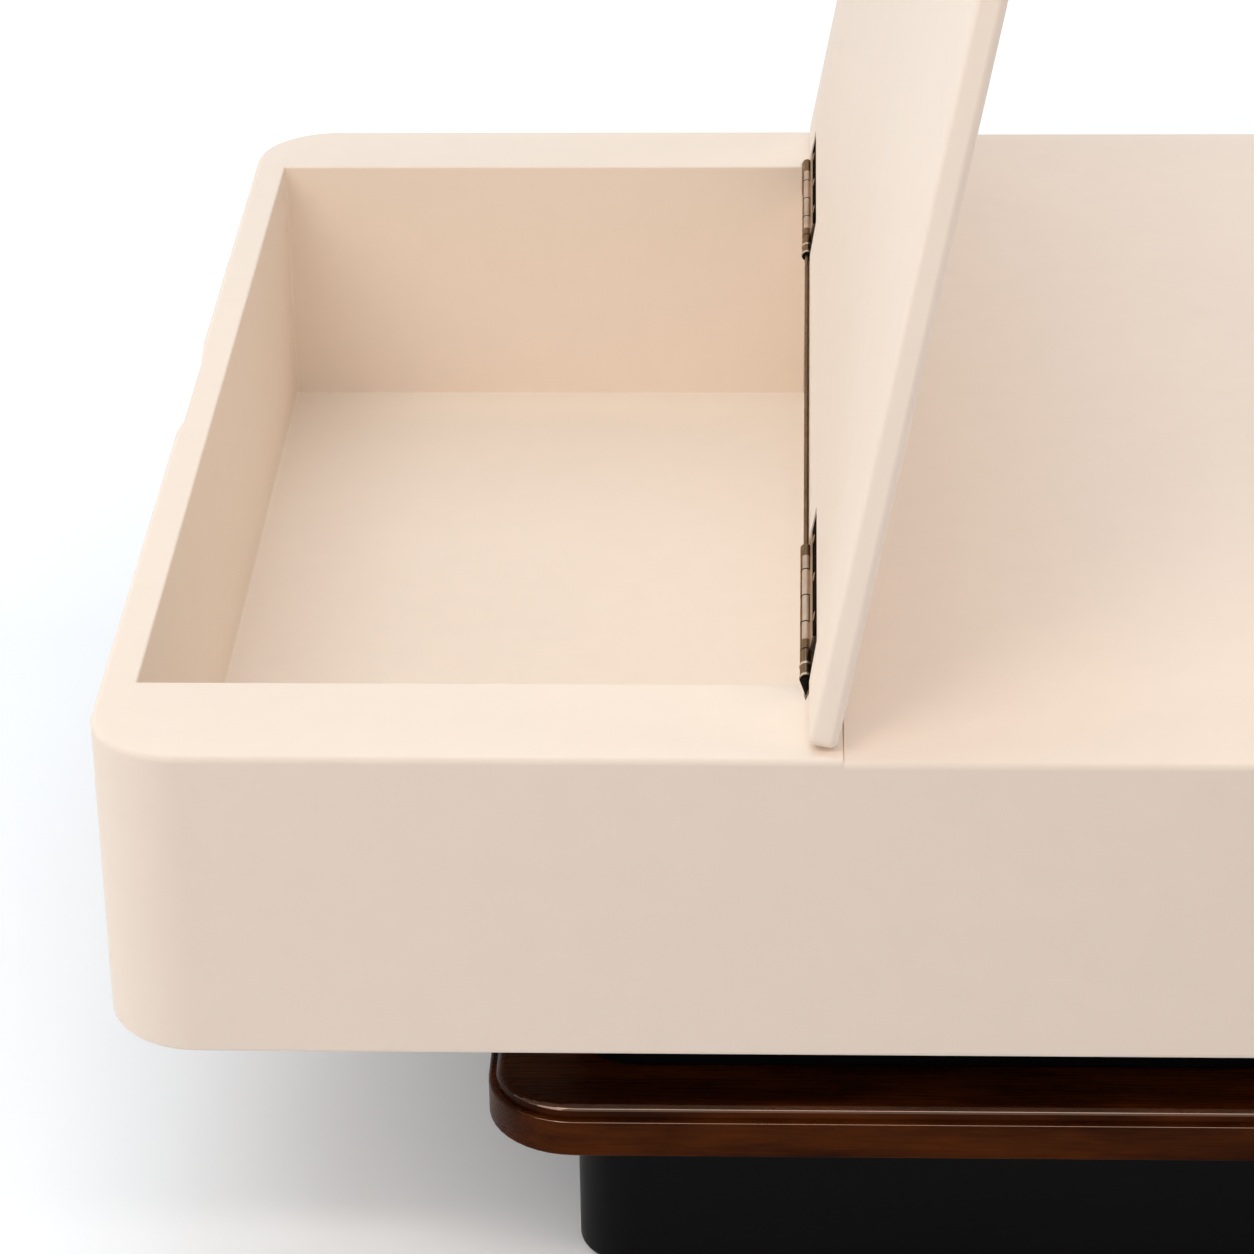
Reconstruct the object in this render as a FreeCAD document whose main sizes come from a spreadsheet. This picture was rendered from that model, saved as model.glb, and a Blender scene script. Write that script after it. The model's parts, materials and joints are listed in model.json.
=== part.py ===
import FreeCAD, Part
import os
import re
import Sketcher

# Center table: a lacquered box with a flip-up storage lid, on a walnut shelf board and a black plinth.
# Millimetres, +X to the right along the length, -Y to the front, +Z up, floor at Z = 0.
# The lid stands open against its stop, as it is stored here, and turns about the hinge rod.

SIZES = [
    ("table_length", 1200, "box body, end to end"),
    ("table_depth", 760, "box body, front to back"),
    ("body_height", 152, "box body, underside to rim"),
    ("corner_radius", 44, "upright corners of the box body"),
    ("board", 17, "carcass board thickness"),
    ("liner", 12, "compartment liner thickness"),
    ("floor_board", 9, "bottom panel thickness"),
    ("edge_soft", 3, "radius of the painted outer edges"),
    ("front_rim_width", 71, "rim in front of the compartment"),
    ("back_rim_width", 57, "rim behind the compartment"),
    ("partition_from_end", 317, "left end to the partition's inner face"),
    ("seam_width", 0.6, "groove between the rim and the fixed top"),
    ("seam_depth", 1.5, "depth of that groove"),
    ("top_ease_width", 26, "width of the fixed top's sloped border"),
    ("top_ease_drop", 1.6, "fall of that border"),
    ("scoop_start", 341, "table front to the near end of the finger scoop"),
    ("scoop_length", 116, "finger scoop along the left end"),
    ("scoop_near_ramp", 10, "near ramp of the scoop"),
    ("scoop_far_ramp", 34, "far ramp of the scoop"),
    ("scoop_depth", 2.8, "depth of the scoop"),
    ("scoop_height", 13, "height of the scoop on the outer face"),
    ("lid_thick", 12.4, "lid slab"),
    ("lid_reach", 362, "hinge axis to the lid's free end"),
    ("lid_hinge_gap", 0.8, "hinge axis to the lid's hinge-side end"),
    ("lid_side_inset", 2, "lid inside the body's front and back faces"),
    ("lid_lift", 1.6, "gap under the closed lid"),
    ("lid_under", 0.6, "hinge axis up to the closed lid's underside"),
    ("lid_free_radius", 8, "lid corners at the free end"),
    ("lid_hinge_radius", 6, "lid corners at the hinge side"),
    ("lid_taper", 5, "lid's underside inside its top, front, back and free end"),
    ("lid_end_lean", 13, "lean of the lid's hinge-side end, which is nearly level when open"),
    ("lid_top_soft", 3, "rounding round the lid's top"),
    ("lid_under_soft", 3.5, "rounding round the lid's underside"),
    ("open_angle", 101, "turn of the lid from closed to its stop"),
    ("axis_inset", 0.8, "partition's inner face to the hinge axis"),
    ("hinge_length", 134, "length of a hinge"),
    ("front_hinge_start", 72.5, "table front to the front hinge"),
    ("rear_hinge_start", 566, "table front to the rear hinge"),
    ("knuckle_radius", 2.7, "hinge barrel"),
    ("knuckle_gap", 0.4, "gap between knuckles and round the barrel"),
    ("leaf_thick", 1.5, "hinge leaf"),
    ("leaf_width", 22, "hinge axis to the leaf's far edge"),
    ("recess_lead", 3, "start of the lid's hinge recess before a hinge"),
    ("recess_taper", 9, "run-out of that recess towards the lid's edge"),
    ("ring_radius", 3, "raised rings on a hinge's front knuckle"),
    ("ring_width", 2.2, "width of a raised ring"),
    ("ring_pitch", 11, "spacing of the two raised rings"),
    ("rod_radius", 1.25, "hinge rod"),
    ("rod_play", 0.05, "radial play of the lid's knuckles on the rod"),
    ("rod_grip", 0.02, "radial play of the fixed knuckles on the rod"),
    ("rod_tip", 60, "table front to the rod's pointed tip"),
    ("rod_tip_length", 12, "length of the pointed tip"),
    ("rod_tip_radius", 0.4, "end of the pointed tip"),
    ("rod_tip_root", 2.5, "pointed tip beside the front hinge"),
    ("rod_head_length", 7, "domed head at the rod's back end"),
    ("tip_notch_depth", 15.5, "notch in the front rim for the rod's tip"),
    ("head_notch_depth", 6.5, "notch in the back rim for the rod's head"),
    ("screw_from_axis", 12.5, "hinge axis to the screw line"),
    ("screw_middle", 80, "hinge's front end to its middle screw"),
    ("screw_spread", 40, "outer screws from the middle screw"),
    ("screw_radius", 1.25, "hinge screw shank"),
    ("screw_head_radius", 2.3, "hinge screw head"),
    ("screw_length", 10, "hinge screw"),
    ("screw_play", 0.03, "room round a screw"),
    ("bumper_radius", 4, "soft bumper under the lid"),
    ("bumper_thick", 1.2, "soft bumper under the lid"),
    ("bumper_from_end", 8.5, "left end to the bumpers"),
    ("front_bumper", 190, "table front to the front bumper"),
    ("rear_bumper", 620, "table front to the rear bumper"),
    ("rib_count", 3, "cross ribs under the fixed top"),
    ("neck_height", 45, "recess between body and shelf board"),
    ("shelf_thick", 24, "walnut shelf board"),
    ("shelf_end_inset", 170, "shelf board inside the body's ends"),
    ("shelf_front_inset", 22, "shelf board inside the body's front and back"),
    ("shelf_radius", 42, "plan corners of the shelf board"),
    ("shelf_step", 3.5, "upper tier of the shelf's edge inside the lower"),
    ("shelf_tier", 5.5, "height of the upper tier"),
    ("shelf_bead", 5, "rounding of the upper tier"),
    ("shelf_lower_soft", 2, "rounding of the lower tier"),
    ("shelf_arris", 0.8, "rounding of the shelf's lower edge"),
    ("plinth_inset", 40, "neck and plinth inside the shelf board"),
    ("plinth_height", 90, "plinth without its pads"),
    ("plinth_radius", 30, "plan corners of neck and plinth"),
    ("rail_width", 60, "rails and doublers that the bolts clamp"),
    ("rail_middle", 200, "table middle to a rail's middle"),
    ("bolt_middle", 220, "table middle to a bolt, front to back"),
    ("bolt_radius", 4, "base bolt"),
    ("bolt_hole_radius", 4.5, "hole for a base bolt"),
    ("bolt_head_height", 5.3, "hexagon head"),
    ("bolt_head_radius", 7.5, "hexagon head, to its corners"),
    ("washer_radius", 10, "washer"),
    ("washer_thick", 1.6, "washer"),
    ("nut_radius", 5, "barrel of a tee nut"),
    ("nut_length", 10, "barrel of a tee nut"),
    ("nut_flange_radius", 9.5, "flange of a tee nut"),
    ("nut_flange_thick", 1.5, "flange of a tee nut"),
    ("thread_play", 0.05, "room between bolt and tee nut"),
    ("pad_radius", 8, "floor pad"),
    ("pad_thick", 3, "floor pad"),
    ("pad_spread", 300, "outer floor pads from the middle"),
]

doc = FreeCAD.newDocument("center_table")
sheet = doc.addObject("Spreadsheet::Sheet", "Sizes")
for row, (alias, value, meaning) in enumerate(SIZES, start=1):
    sheet.set(f"A{row}", meaning)
    sheet.set(f"B{row}", str(value))
    sheet.setAlias(f"B{row}", alias)
doc.recompute()

ALIASES = re.compile(r"\b(" + "|".join(alias for alias, _, _ in SIZES) + r")\b")
X_AXIS = FreeCAD.Vector(1, 0, 0)
Y_AXIS = FreeCAD.Vector(0, 1, 0)
Z_AXIS = FreeCAD.Vector(0, 0, 1)
NEAR = 1e-4
nodes = {}


# Levels and planes that several pieces share, as expressions of the sizes

LEFT = "(-table_length / 2)"
RIGHT = "(table_length / 2)"
FRONT = "(-table_depth / 2)"
BACK = "(table_depth / 2)"
SHELF_BOTTOM = "(pad_thick + plinth_height)"
NECK_BOTTOM = f"({SHELF_BOTTOM} + shelf_thick)"
BODY_BOTTOM = f"({NECK_BOTTOM} + neck_height)"
WALL_BOTTOM = f"({BODY_BOTTOM} + floor_board)"
RIM_TOP = f"({BODY_BOTTOM} + body_height)"
WALL_TOP = f"({RIM_TOP} - board)"
WALLS = (WALL_BOTTOM, WALL_TOP)
BOX_FRONT = f"({FRONT} + front_rim_width)"
BOX_BACK = f"({BACK} - back_rim_width)"
BOX_LEFT = f"({LEFT} + board)"
BOX_RIGHT = f"({LEFT} + partition_from_end)"
SEAM = f"({BOX_RIGHT} + board)"
BARREL_ROOM = "(knuckle_radius + knuckle_gap)"
AXIS_X = f"({BOX_RIGHT} + axis_inset)"
AXIS_Z = f"({RIM_TOP} + lid_lift - lid_under)"
LEAF_INNER = "(knuckle_radius - leaf_thick)"
ROD_BACK = "(rear_hinge_start + hinge_length + knuckle_gap)"
PLINTH_X = "(table_length / 2 - shelf_end_inset - plinth_inset)"
PLINTH_Y = "(table_depth / 2 - shelf_front_inset - plinth_inset)"
WASHER_BOTTOM = f"({SHELF_BOTTOM} - board - washer_thick)"
DOUBLER_TOP = f"({WALL_BOTTOM} + board)"

HINGES = (("front_hinge", "front_hinge_start"), ("rear_hinge", "rear_hinge_start"))
KNUCKLES = 5
PITCH = f"(hinge_length / {KNUCKLES})"
SCREW_SHIFTS = ("-screw_spread", "0", "screw_spread")


# Builders that bind every size and place to the sheet

def sized(text):
    """An expression in which every size is read from the sheet."""
    return ALIASES.sub(r"Sizes.\1", str(text))


def present(text):
    """The present value of an expression."""
    return float(sheet.evalExpression(str(text)))


def keep(item, label):
    """Give a finished sub-part the name of its node."""
    item.Label = label
    nodes[label] = item


def place(item, x="0", y="0", z="0"):
    """Bind the place of an object's own origin."""
    for axis, value in zip("xyz", (x, y, z)):
        item.setExpression(f"Placement.Base.{axis}", sized(value))
    return item


def on_lid(item):
    """Carry a piece, drawn with the hinge axis at X = Z = 0 and the lid closed, to the open lid."""
    item.Placement.Rotation = FreeCAD.Rotation(Y_AXIS, present("open_angle"))
    item.setExpression("Placement.Rotation.Angle", sized("open_angle"))
    return place(item, AXIS_X, "0", AXIS_Z)


def at_hinge(item):
    """Carry a piece, drawn with the hinge axis at X = Z = 0, to the partition."""
    return place(item, AXIS_X, "0", AXIS_Z)


def board(x, y, z):
    """A straight board between two planes each way."""
    item = doc.addObject("Part::Box", "Board")
    for size, (low, high) in zip(("Length", "Width", "Height"), (x, y, z)):
        item.setExpression(size, sized(f"({high}) - ({low})"))
    return place(item, x[0], y[0], z[0])


def bar(radius, length, x="0", y="0", z="0", along=Z_AXIS):
    """A round bar from a point along an axis."""
    item = doc.addObject("Part::Cylinder", "Bar")
    item.setExpression("Radius", sized(radius))
    item.setExpression("Height", sized(length))
    item.Placement.Rotation = FreeCAD.Rotation(Z_AXIS, along)
    return place(item, x, y, z)


def cone(start_radius, end_radius, length, x="0", y="0", z="0", along=Z_AXIS):
    """A cone from a point along an axis."""
    item = doc.addObject("Part::Cone", "Cone")
    item.setExpression("Radius1", sized(start_radius))
    item.setExpression("Radius2", sized(end_radius))
    item.setExpression("Height", sized(length))
    item.Placement.Rotation = FreeCAD.Rotation(Z_AXIS, along)
    return place(item, x, y, z)


def fuse(pieces):
    item = doc.addObject("Part::MultiFuse", "Joined")
    item.Shapes = pieces
    item.Refine = True
    return item


def cut(base, tools):
    item = doc.addObject("Part::Cut", "Shaped")
    item.Base = base
    item.Tool = tools[0] if len(tools) == 1 else fuse(tools)
    item.Refine = True
    return item


def group(pieces):
    """Separate solids that share one node."""
    item = doc.addObject("Part::Compound", "Group")
    item.Links = pieces
    return item


def sketched(points, depth, plane="XY_Plane"):
    """A body padded from a straight-sided outline; every corner is a pair of expressions."""
    body = doc.addObject("PartDesign::Body", "Body")
    sketch = body.newObject("Sketcher::SketchObject", "Outline")
    support = [item for item in body.Origin.OriginFeatures if item.Role == plane][0]
    sketch.AttachmentSupport = [(support, "")]
    sketch.MapMode = "FlatFace"
    spots = [FreeCAD.Vector(present(x), present(y), 0) for x, y in points]
    for start, end in zip(spots, spots[1:] + spots[:1]):
        sketch.addGeometry(Part.LineSegment(start, end), False)
    for index in range(len(points)):
        following = (index + 1) % len(points)
        sketch.addConstraint(Sketcher.Constraint("Coincident", index, 2, following, 1))
    for index, corner in enumerate(points):
        for kind, value in zip(("DistanceX", "DistanceY"), corner):
            made = sketch.addConstraint(Sketcher.Constraint(kind, -1, 1, index, 1, present(value)))
            sketch.renameConstraint(made, f"{kind}_{index}")
            sketch.setExpression(f"Constraints.{kind}_{index}", sized(value))
    pad = body.newObject("PartDesign::Pad", "Pad")
    pad.Profile = sketch
    pad.setExpression("Length", sized(depth))
    doc.recompute()
    return body


def rectangle(low_x, high_x, low_y, high_y):
    return [(low_x, low_y), (high_x, low_y), (high_x, high_y), (low_x, high_y)]


def soften(body, radius, chosen):
    """Round the edges of a body that a test picks out."""
    base = body.Tip
    picked = [f"Edge{i}" for i, edge in enumerate(base.Shape.Edges, start=1) if chosen(edge.BoundBox)]
    fillet = body.newObject("PartDesign::Fillet", "Soft")
    fillet.Base = (base, picked)
    fillet.setExpression("Radius", sized(radius))
    doc.recompute()
    return body


def ease(body, width, drop, chosen):
    """Slope the border of a top face down to the edges that a test picks out."""
    base = body.Tip
    picked = [f"Edge{i}" for i, edge in enumerate(base.Shape.Edges, start=1) if chosen(edge.BoundBox)]
    slope = body.newObject("PartDesign::Chamfer", "Slope")
    slope.Base = (base, picked)
    slope.ChamferType = "Two distances"
    slope.setExpression("Size", sized(drop))
    slope.setExpression("Size2", sized(width))
    doc.recompute()
    return body


def lean(body, angle, chosen, start, downwards):
    """Lean the sides of a body that a test picks out inwards, down or up from the face at a level."""
    base = body.Tip
    boxes = {f"Face{i}": face.BoundBox for i, face in enumerate(base.Shape.Faces, start=1)}
    draft = body.newObject("PartDesign::Draft", "Lean")
    draft.Base = (base, [name for name, box in boxes.items() if chosen(box)])
    draft.NeutralPlane = (base, [name for name, box in boxes.items() if level(box, start)])
    draft.Reversed = downwards
    draft.setExpression("Angle", sized(angle))
    doc.recompute()
    return body


# Tests that pick edges and faces by their bounding box, in a body's own coordinates

def upright(box):
    return box.XLength < NEAR and box.YLength < NEAR


def level(box, height):
    return abs(box.ZMin - height) < NEAR and abs(box.ZMax - height) < NEAR


def at_x(box, x):
    return abs(box.XMin - x) < NEAR and abs(box.XMax - x) < NEAR


def at_y(box, y):
    return abs(box.YMin - y) < NEAR and abs(box.YMax - y) < NEAR


# Base bolts and the holes that they pass

BOLT_SPOTS = [
    (f"({side_x} * rail_middle)", f"({side_y} * bolt_middle)") for side_x in (-1, 1) for side_y in (-1, 1)
]


def bolt_bars(radius, low, high):
    """One upright bar on each base bolt's axis."""
    return [bar(radius, f"({high}) - ({low})", x, y, low) for x, y in BOLT_SPOTS]


def drilled(piece, radius="bolt_hole_radius"):
    """A piece with holes for the base bolts."""
    return cut(piece, bolt_bars(radius, "0", RIM_TOP))


def make_bolts():
    bolts = []
    for x, y in BOLT_SPOTS:
        head = doc.addObject("Part::Prism", "Head")
        head.Polygon = 6
        head.setExpression("Circumradius", sized("bolt_head_radius"))
        head.setExpression("Height", sized("bolt_head_height"))
        place(head, x, y, f"{WASHER_BOTTOM} - bolt_head_height")
        shank = bar("bolt_radius", f"{DOUBLER_TOP} - {WASHER_BOTTOM}", x, y, WASHER_BOTTOM)
        bolts.append(fuse([head, shank]))
    keep(group(bolts), "base_bolts")

    washers = []
    nuts = []
    for x, y in BOLT_SPOTS:
        disc = bar("washer_radius", "washer_thick", x, y, WASHER_BOTTOM)
        hole = bar("bolt_hole_radius", "washer_thick", x, y, WASHER_BOTTOM)
        washers.append(cut(disc, [hole]))
        barrel = bar("nut_radius", "nut_length", x, y, f"{DOUBLER_TOP} - nut_length")
        flange = bar("nut_flange_radius", "nut_flange_thick", x, y, DOUBLER_TOP)
        whole = "(nut_length + nut_flange_thick)"
        thread = bar("bolt_radius + thread_play", whole, x, y, f"{DOUBLER_TOP} - nut_length")
        nuts.append(cut(fuse([barrel, flange]), [thread]))
    keep(group(washers), "bolt_washers")
    keep(group(nuts), "tee_nuts")


# Box body: bottom panel, walls, corner posts, ribs and doublers

def make_bottom_panel():
    panel = sketched(rectangle(LEFT, RIGHT, FRONT, BACK), "floor_board")
    soften(panel, "corner_radius", upright)
    soften(panel, "edge_soft", lambda box: level(box, 0))
    place(panel, z=BODY_BOTTOM)
    keep(drilled(panel), "bottom_panel")


def quarter_posts(prefix, half_x, half_y, radius, levels):
    """Quarter-round posts at the four corners of a box."""
    low, high = levels
    for name, side_x, side_y, start in (
        ("back_right", 1, 1, 0),
        ("back_left", -1, 1, 90),
        ("front_left", -1, -1, 180),
        ("front_right", 1, -1, 270),
    ):
        post = doc.addObject("Part::Cylinder", "Post")
        post.setExpression("Radius", sized(radius))
        post.setExpression("Height", sized(f"({high}) - ({low})"))
        post.Angle = 90
        post.Placement.Rotation = FreeCAD.Rotation(Z_AXIS, start)
        place(post, f"{side_x} * ({half_x} - {radius})", f"{side_y} * ({half_y} - {radius})", low)
        keep(post, f"{prefix}_{name}")


def make_walls():
    along = (f"{LEFT} + corner_radius", f"{RIGHT} - corner_radius")
    across = (f"{FRONT} + corner_radius", f"{BACK} - corner_radius")
    keep(board(along, (FRONT, f"{FRONT} + board"), WALLS), "front_panel")
    keep(board(along, (f"{BACK} - board", BACK), WALLS), "back_panel")
    keep(board((f"{RIGHT} - board", RIGHT), across, WALLS), "right_end_panel")
    quarter_posts("corner_post", RIGHT, BACK, "corner_radius", WALLS)


def make_ribs():
    inside = (f"{FRONT} + board", f"{BACK} - board")
    spacing = f"(({RIGHT} - board - {SEAM}) / (rib_count + 1))"
    for number in range(1, int(present("rib_count")) + 1):
        middle = f"({SEAM} + {number} * {spacing})"
        keep(board((f"{middle} - board / 2", f"{middle} + board / 2"), inside, WALLS), f"cross_rib_{number}")
    for side, name in ((-1, "left"), (1, "right")):
        middle = f"({side} * rail_middle)"
        width = (f"{middle} - rail_width / 2", f"{middle} + rail_width / 2")
        doubler = board(width, inside, (WALL_BOTTOM, DOUBLER_TOP))
        keep(drilled(doubler, "nut_radius"), f"floor_doubler_{name}")


# Boards whose middle rises between the two rims, up to the rim's level

def raised_board(start, end):
    """A board on edge between two distances from the table's front, with a raised middle."""
    low = "0"
    shoulder = f"({WALL_TOP} - {WALL_BOTTOM})"
    crest = f"({RIM_TOP} - {WALL_BOTTOM})"
    return sketched(
        [
            (start, low),
            (end, low),
            (end, shoulder),
            (BOX_BACK, shoulder),
            (BOX_BACK, crest),
            (BOX_FRONT, crest),
            (BOX_FRONT, shoulder),
            (start, shoulder),
        ],
        "board",
        "YZ_Plane",
    )


def make_left_end_panel():
    panel = raised_board(f"({FRONT} + corner_radius)", f"({BACK} - corner_radius)")
    crest = present(f"{RIM_TOP} - {WALL_BOTTOM}")
    soften(panel, "edge_soft", lambda box: level(box, crest) and at_x(box, 0))
    place(panel, LEFT, z=WALL_BOTTOM)
    scoop = sketched(
        [
            ("-edge_soft", "0"),
            ("0", "0"),
            ("scoop_depth", "scoop_near_ramp"),
            ("scoop_depth", "scoop_length - scoop_far_ramp"),
            ("0", "scoop_length"),
            ("-edge_soft", "scoop_length"),
        ],
        "scoop_height + edge_soft",
    )
    place(scoop, LEFT, f"{FRONT} + scoop_start", f"{RIM_TOP} - scoop_height")
    keep(cut(panel, [scoop]), "left_end_panel")


def make_partition():
    panel = raised_board(f"({FRONT} + board)", f"({BACK} - board)")
    place(panel, BOX_RIGHT, z=WALL_BOTTOM)
    barrel_x = (f"{BOX_RIGHT} - board", f"{AXIS_X} + {BARREL_ROOM}")
    barrel_z = (f"{AXIS_Z} - {BARREL_ROOM}", f"{RIM_TOP} + board")
    tools = [board(barrel_x, (BOX_FRONT, BOX_BACK), barrel_z)]
    for _, start in HINGES:
        leaf_x = (f"{BOX_RIGHT} - board", f"{BOX_RIGHT} + leaf_thick")
        leaf_y = (f"{FRONT} + {start}", f"{FRONT} + {start} + hinge_length")
        tools.append(board(leaf_x, leaf_y, (f"{AXIS_Z} - leaf_width", RIM_TOP)))
        for shift in SCREW_SHIFTS:
            y = f"({FRONT} + {start} + screw_middle + {shift})"
            z = f"({AXIS_Z} - screw_from_axis)"
            tools.append(bar("screw_radius + screw_play", "screw_length", BOX_RIGHT, y, z, X_AXIS))
    keep(cut(panel, tools), "partition")


# Compartment liners and the rim boards over the hollow walls

def make_compartment_walls():
    between = (BOX_LEFT, BOX_RIGHT)
    keep(board(between, (f"{BOX_FRONT} - liner", BOX_FRONT), WALLS), "compartment_front_wall")
    keep(board(between, (BOX_BACK, f"{BOX_BACK} + liner"), WALLS), "compartment_back_wall")


def rim_board(outline, outer):
    """A rim board with a rounded outer corner at the left end and a softened outer edge."""
    rim = sketched(outline, "board")
    left = present(LEFT)
    top = present("board")
    soften(rim, "corner_radius", lambda box: upright(box) and at_x(box, left) and at_y(box, outer))
    soften(rim, "edge_soft", lambda box: level(box, top) and at_y(box, outer))
    return place(rim, z=WALL_TOP)


def make_rims():
    notch_left = f"({AXIS_X} - {BARREL_ROOM})"
    notch_right = f"({AXIS_X} + {BARREL_ROOM})"
    front_point = (AXIS_X, f"({BOX_FRONT} - tip_notch_depth)")
    front_outline = [
        (LEFT, FRONT),
        (SEAM, FRONT),
        (SEAM, BOX_FRONT),
        (notch_right, BOX_FRONT),
        front_point,
        (notch_left, BOX_FRONT),
        (LEFT, BOX_FRONT),
    ]
    keep(rim_board(front_outline, present(FRONT)), "front_rim")
    notch_end = f"({BOX_BACK} + head_notch_depth)"
    back_outline = [
        (LEFT, BOX_BACK),
        (notch_left, BOX_BACK),
        (notch_left, notch_end),
        (notch_right, notch_end),
        (notch_right, BOX_BACK),
        (SEAM, BOX_BACK),
        (SEAM, BACK),
        (LEFT, BACK),
    ]
    keep(rim_board(back_outline, present(BACK)), "back_rim")


# Fixed top: flush with the rim, with a border that slopes gently to its outer edges

def make_fixed_top():
    top = sketched(rectangle(SEAM, RIGHT, FRONT, BACK), "board")
    right = present(RIGHT)
    front = present(FRONT)
    height = present("board")
    fall = present("top_ease_drop")
    soften(top, "corner_radius", lambda box: upright(box) and at_x(box, right))
    ease(top, "top_ease_width", "top_ease_drop", lambda box: level(box, height) and at_y(box, front))
    soften(top, "edge_soft", lambda box: level(box, height - fall) and at_y(box, front))
    place(top, z=WALL_TOP)
    groove = board((SEAM, f"{SEAM} + seam_width"), (FRONT, BACK), (f"{RIM_TOP} - seam_depth", RIM_TOP))
    keep(cut(top, [groove]), "fixed_top")


# Lid and hinges, drawn about the hinge axis

def hinge_recess(start):
    """The tool for a hinge's recess under the lid, which runs out slantwise before the hinge's front end."""
    far_edge = "(-leaf_width - knuckle_gap)"
    lead = f"({FRONT} + {start} - recess_lead)"
    leaf_end = f"({FRONT} + {start} + hinge_length + knuckle_gap)"
    outline = [
        (far_edge, lead),
        ("knuckle_radius", f"({lead} - recess_taper)"),
        ("knuckle_radius", leaf_end),
        (far_edge, leaf_end),
    ]
    return place(sketched(outline, "2 * knuckle_radius - lid_under"), z="(lid_under - knuckle_radius)")


def make_lid():
    along = ("-lid_reach", "-lid_hinge_gap")
    across = (f"({FRONT} + lid_side_inset)", f"({BACK} - lid_side_inset)")
    slab = sketched(rectangle(*along, *across), "lid_thick")
    free_end, hinge_end = map(present, along)
    front, back = map(present, across)
    height = present("lid_thick")
    middle = present("-lid_reach / 2")
    lean(
        slab,
        "atan(lid_taper / lid_thick)",
        lambda box: at_x(box, free_end) or at_y(box, front) or at_y(box, back),
        height,
        True,
    )
    lean(slab, "lid_end_lean", lambda box: at_x(box, hinge_end), 0, False)
    soften(slab, "lid_free_radius", lambda box: box.ZLength > height - NEAR and box.XMax < middle)
    soften(slab, "lid_hinge_radius", lambda box: box.ZLength > height - NEAR and box.XMin > middle)
    soften(slab, "lid_top_soft", lambda box: level(box, height) and box.XLength < NEAR and box.XMin > middle)
    soften(slab, "lid_under_soft", lambda box: level(box, 0) and at_x(box, hinge_end))
    place(slab, z="lid_under")
    tools = []
    for _, start in HINGES:
        tools.append(hinge_recess(start))
        for shift in SCREW_SHIFTS:
            y = f"({FRONT} + {start} + screw_middle + {shift})"
            x = "-screw_from_axis"
            tools.append(bar("screw_radius + screw_play", "screw_length", x, y, LEAF_INNER))
    keep(on_lid(cut(slab, tools)), "lid_panel")

    x = "(bumper_from_end - partition_from_end - axis_inset)"
    z = "(lid_under - bumper_thick)"
    dots = [
        bar("bumper_radius", "bumper_thick", x, f"({FRONT} + {y})", z) for y in ("front_bumper", "rear_bumper")
    ]
    keep(on_lid(group(dots)), "lid_bumpers")


def knuckle_span(start, number):
    """Start and length of one knuckle, counted from a hinge's front end."""
    return f"({FRONT} + {start} + {number} * {PITCH} + knuckle_gap / 2)", f"({PITCH} - knuckle_gap)"


def leaf(start, first, knuckles, plate, tab, bore, heads, rings=()):
    """A hinge leaf: plate, rolled knuckles with their tabs, rod bore and countersunk holes.

    plate and tab give the two planes across and along the leaf; the hinge runs along Y, and the plate
    starts at the knuckle numbered first.
    """
    whole = (f"{FRONT} + {start}", f"{FRONT} + {start} + hinge_length")
    pieces = [board(plate[0], (f"{whole[0]} + {first} * {PITCH}", whole[1]), plate[1])]
    for number in knuckles:
        low, length = knuckle_span(start, number)
        pieces.append(bar("knuckle_radius", length, y=low, along=Y_AXIS))
        pieces.append(board(tab[0], (low, f"{low} + {length}"), tab[1]))
    for y in rings:
        pieces.append(bar("ring_radius", "ring_width", y=y, along=Y_AXIS))
    hole = bar(bore, "hinge_length", y=whole[0], along=Y_AXIS)
    return cut(fuse(pieces), [hole] + heads)


def screw(x, y, z, along, play="0"):
    """A countersunk screw from its head's face into the wood; play makes the tool for its hole."""
    head = cone(f"screw_head_radius + {play}", f"screw_radius + {play}", "leaf_thick", x, y, z, along)
    shank = bar(f"screw_radius + {play}", "screw_length", x, y, z, along)
    return fuse([head, shank])


def make_hinges():
    lid_screws = []
    fixed_screws = []
    for name, start in HINGES:
        spots = [f"({FRONT} + {start} + screw_middle + {shift})" for shift in SCREW_SHIFTS]
        lid_spots = [("-screw_from_axis", y, LEAF_INNER, Z_AXIS) for y in spots]
        fixed_spots = [("-axis_inset", y, "-screw_from_axis", X_AXIS) for y in spots]
        lid_screws += [screw(*spot) for spot in lid_spots]
        fixed_screws += [screw(*spot) for spot in fixed_spots]

        edge = f"-{BARREL_ROOM}"
        thick = (LEAF_INNER, "knuckle_radius")
        lid_leaf = leaf(
            start,
            1,
            range(1, KNUCKLES, 2),
            (("-leaf_width", edge), thick),
            ((edge, "0"), thick),
            "rod_radius + rod_play",
            [screw(*spot, play="screw_play") for spot in lid_spots],
        )
        keep(on_lid(lid_leaf), f"{name}_lid_leaf")

        thick = ("-axis_inset", "leaf_thick - axis_inset")
        first_ring = f"({FRONT} + {start} + ring_width / 2)"
        fixed_leaf = leaf(
            start,
            0,
            range(0, KNUCKLES, 2),
            (thick, ("-leaf_width", edge)),
            (thick, (edge, "0")),
            "rod_radius + rod_grip",
            [screw(*spot, play="screw_play") for spot in fixed_spots],
            [first_ring, f"({first_ring} + ring_pitch)"],
        )
        keep(at_hinge(fixed_leaf), f"{name}_fixed_leaf")
    keep(on_lid(group(lid_screws)), "lid_hinge_screws")
    keep(at_hinge(group(fixed_screws)), "partition_hinge_screws")


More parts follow.
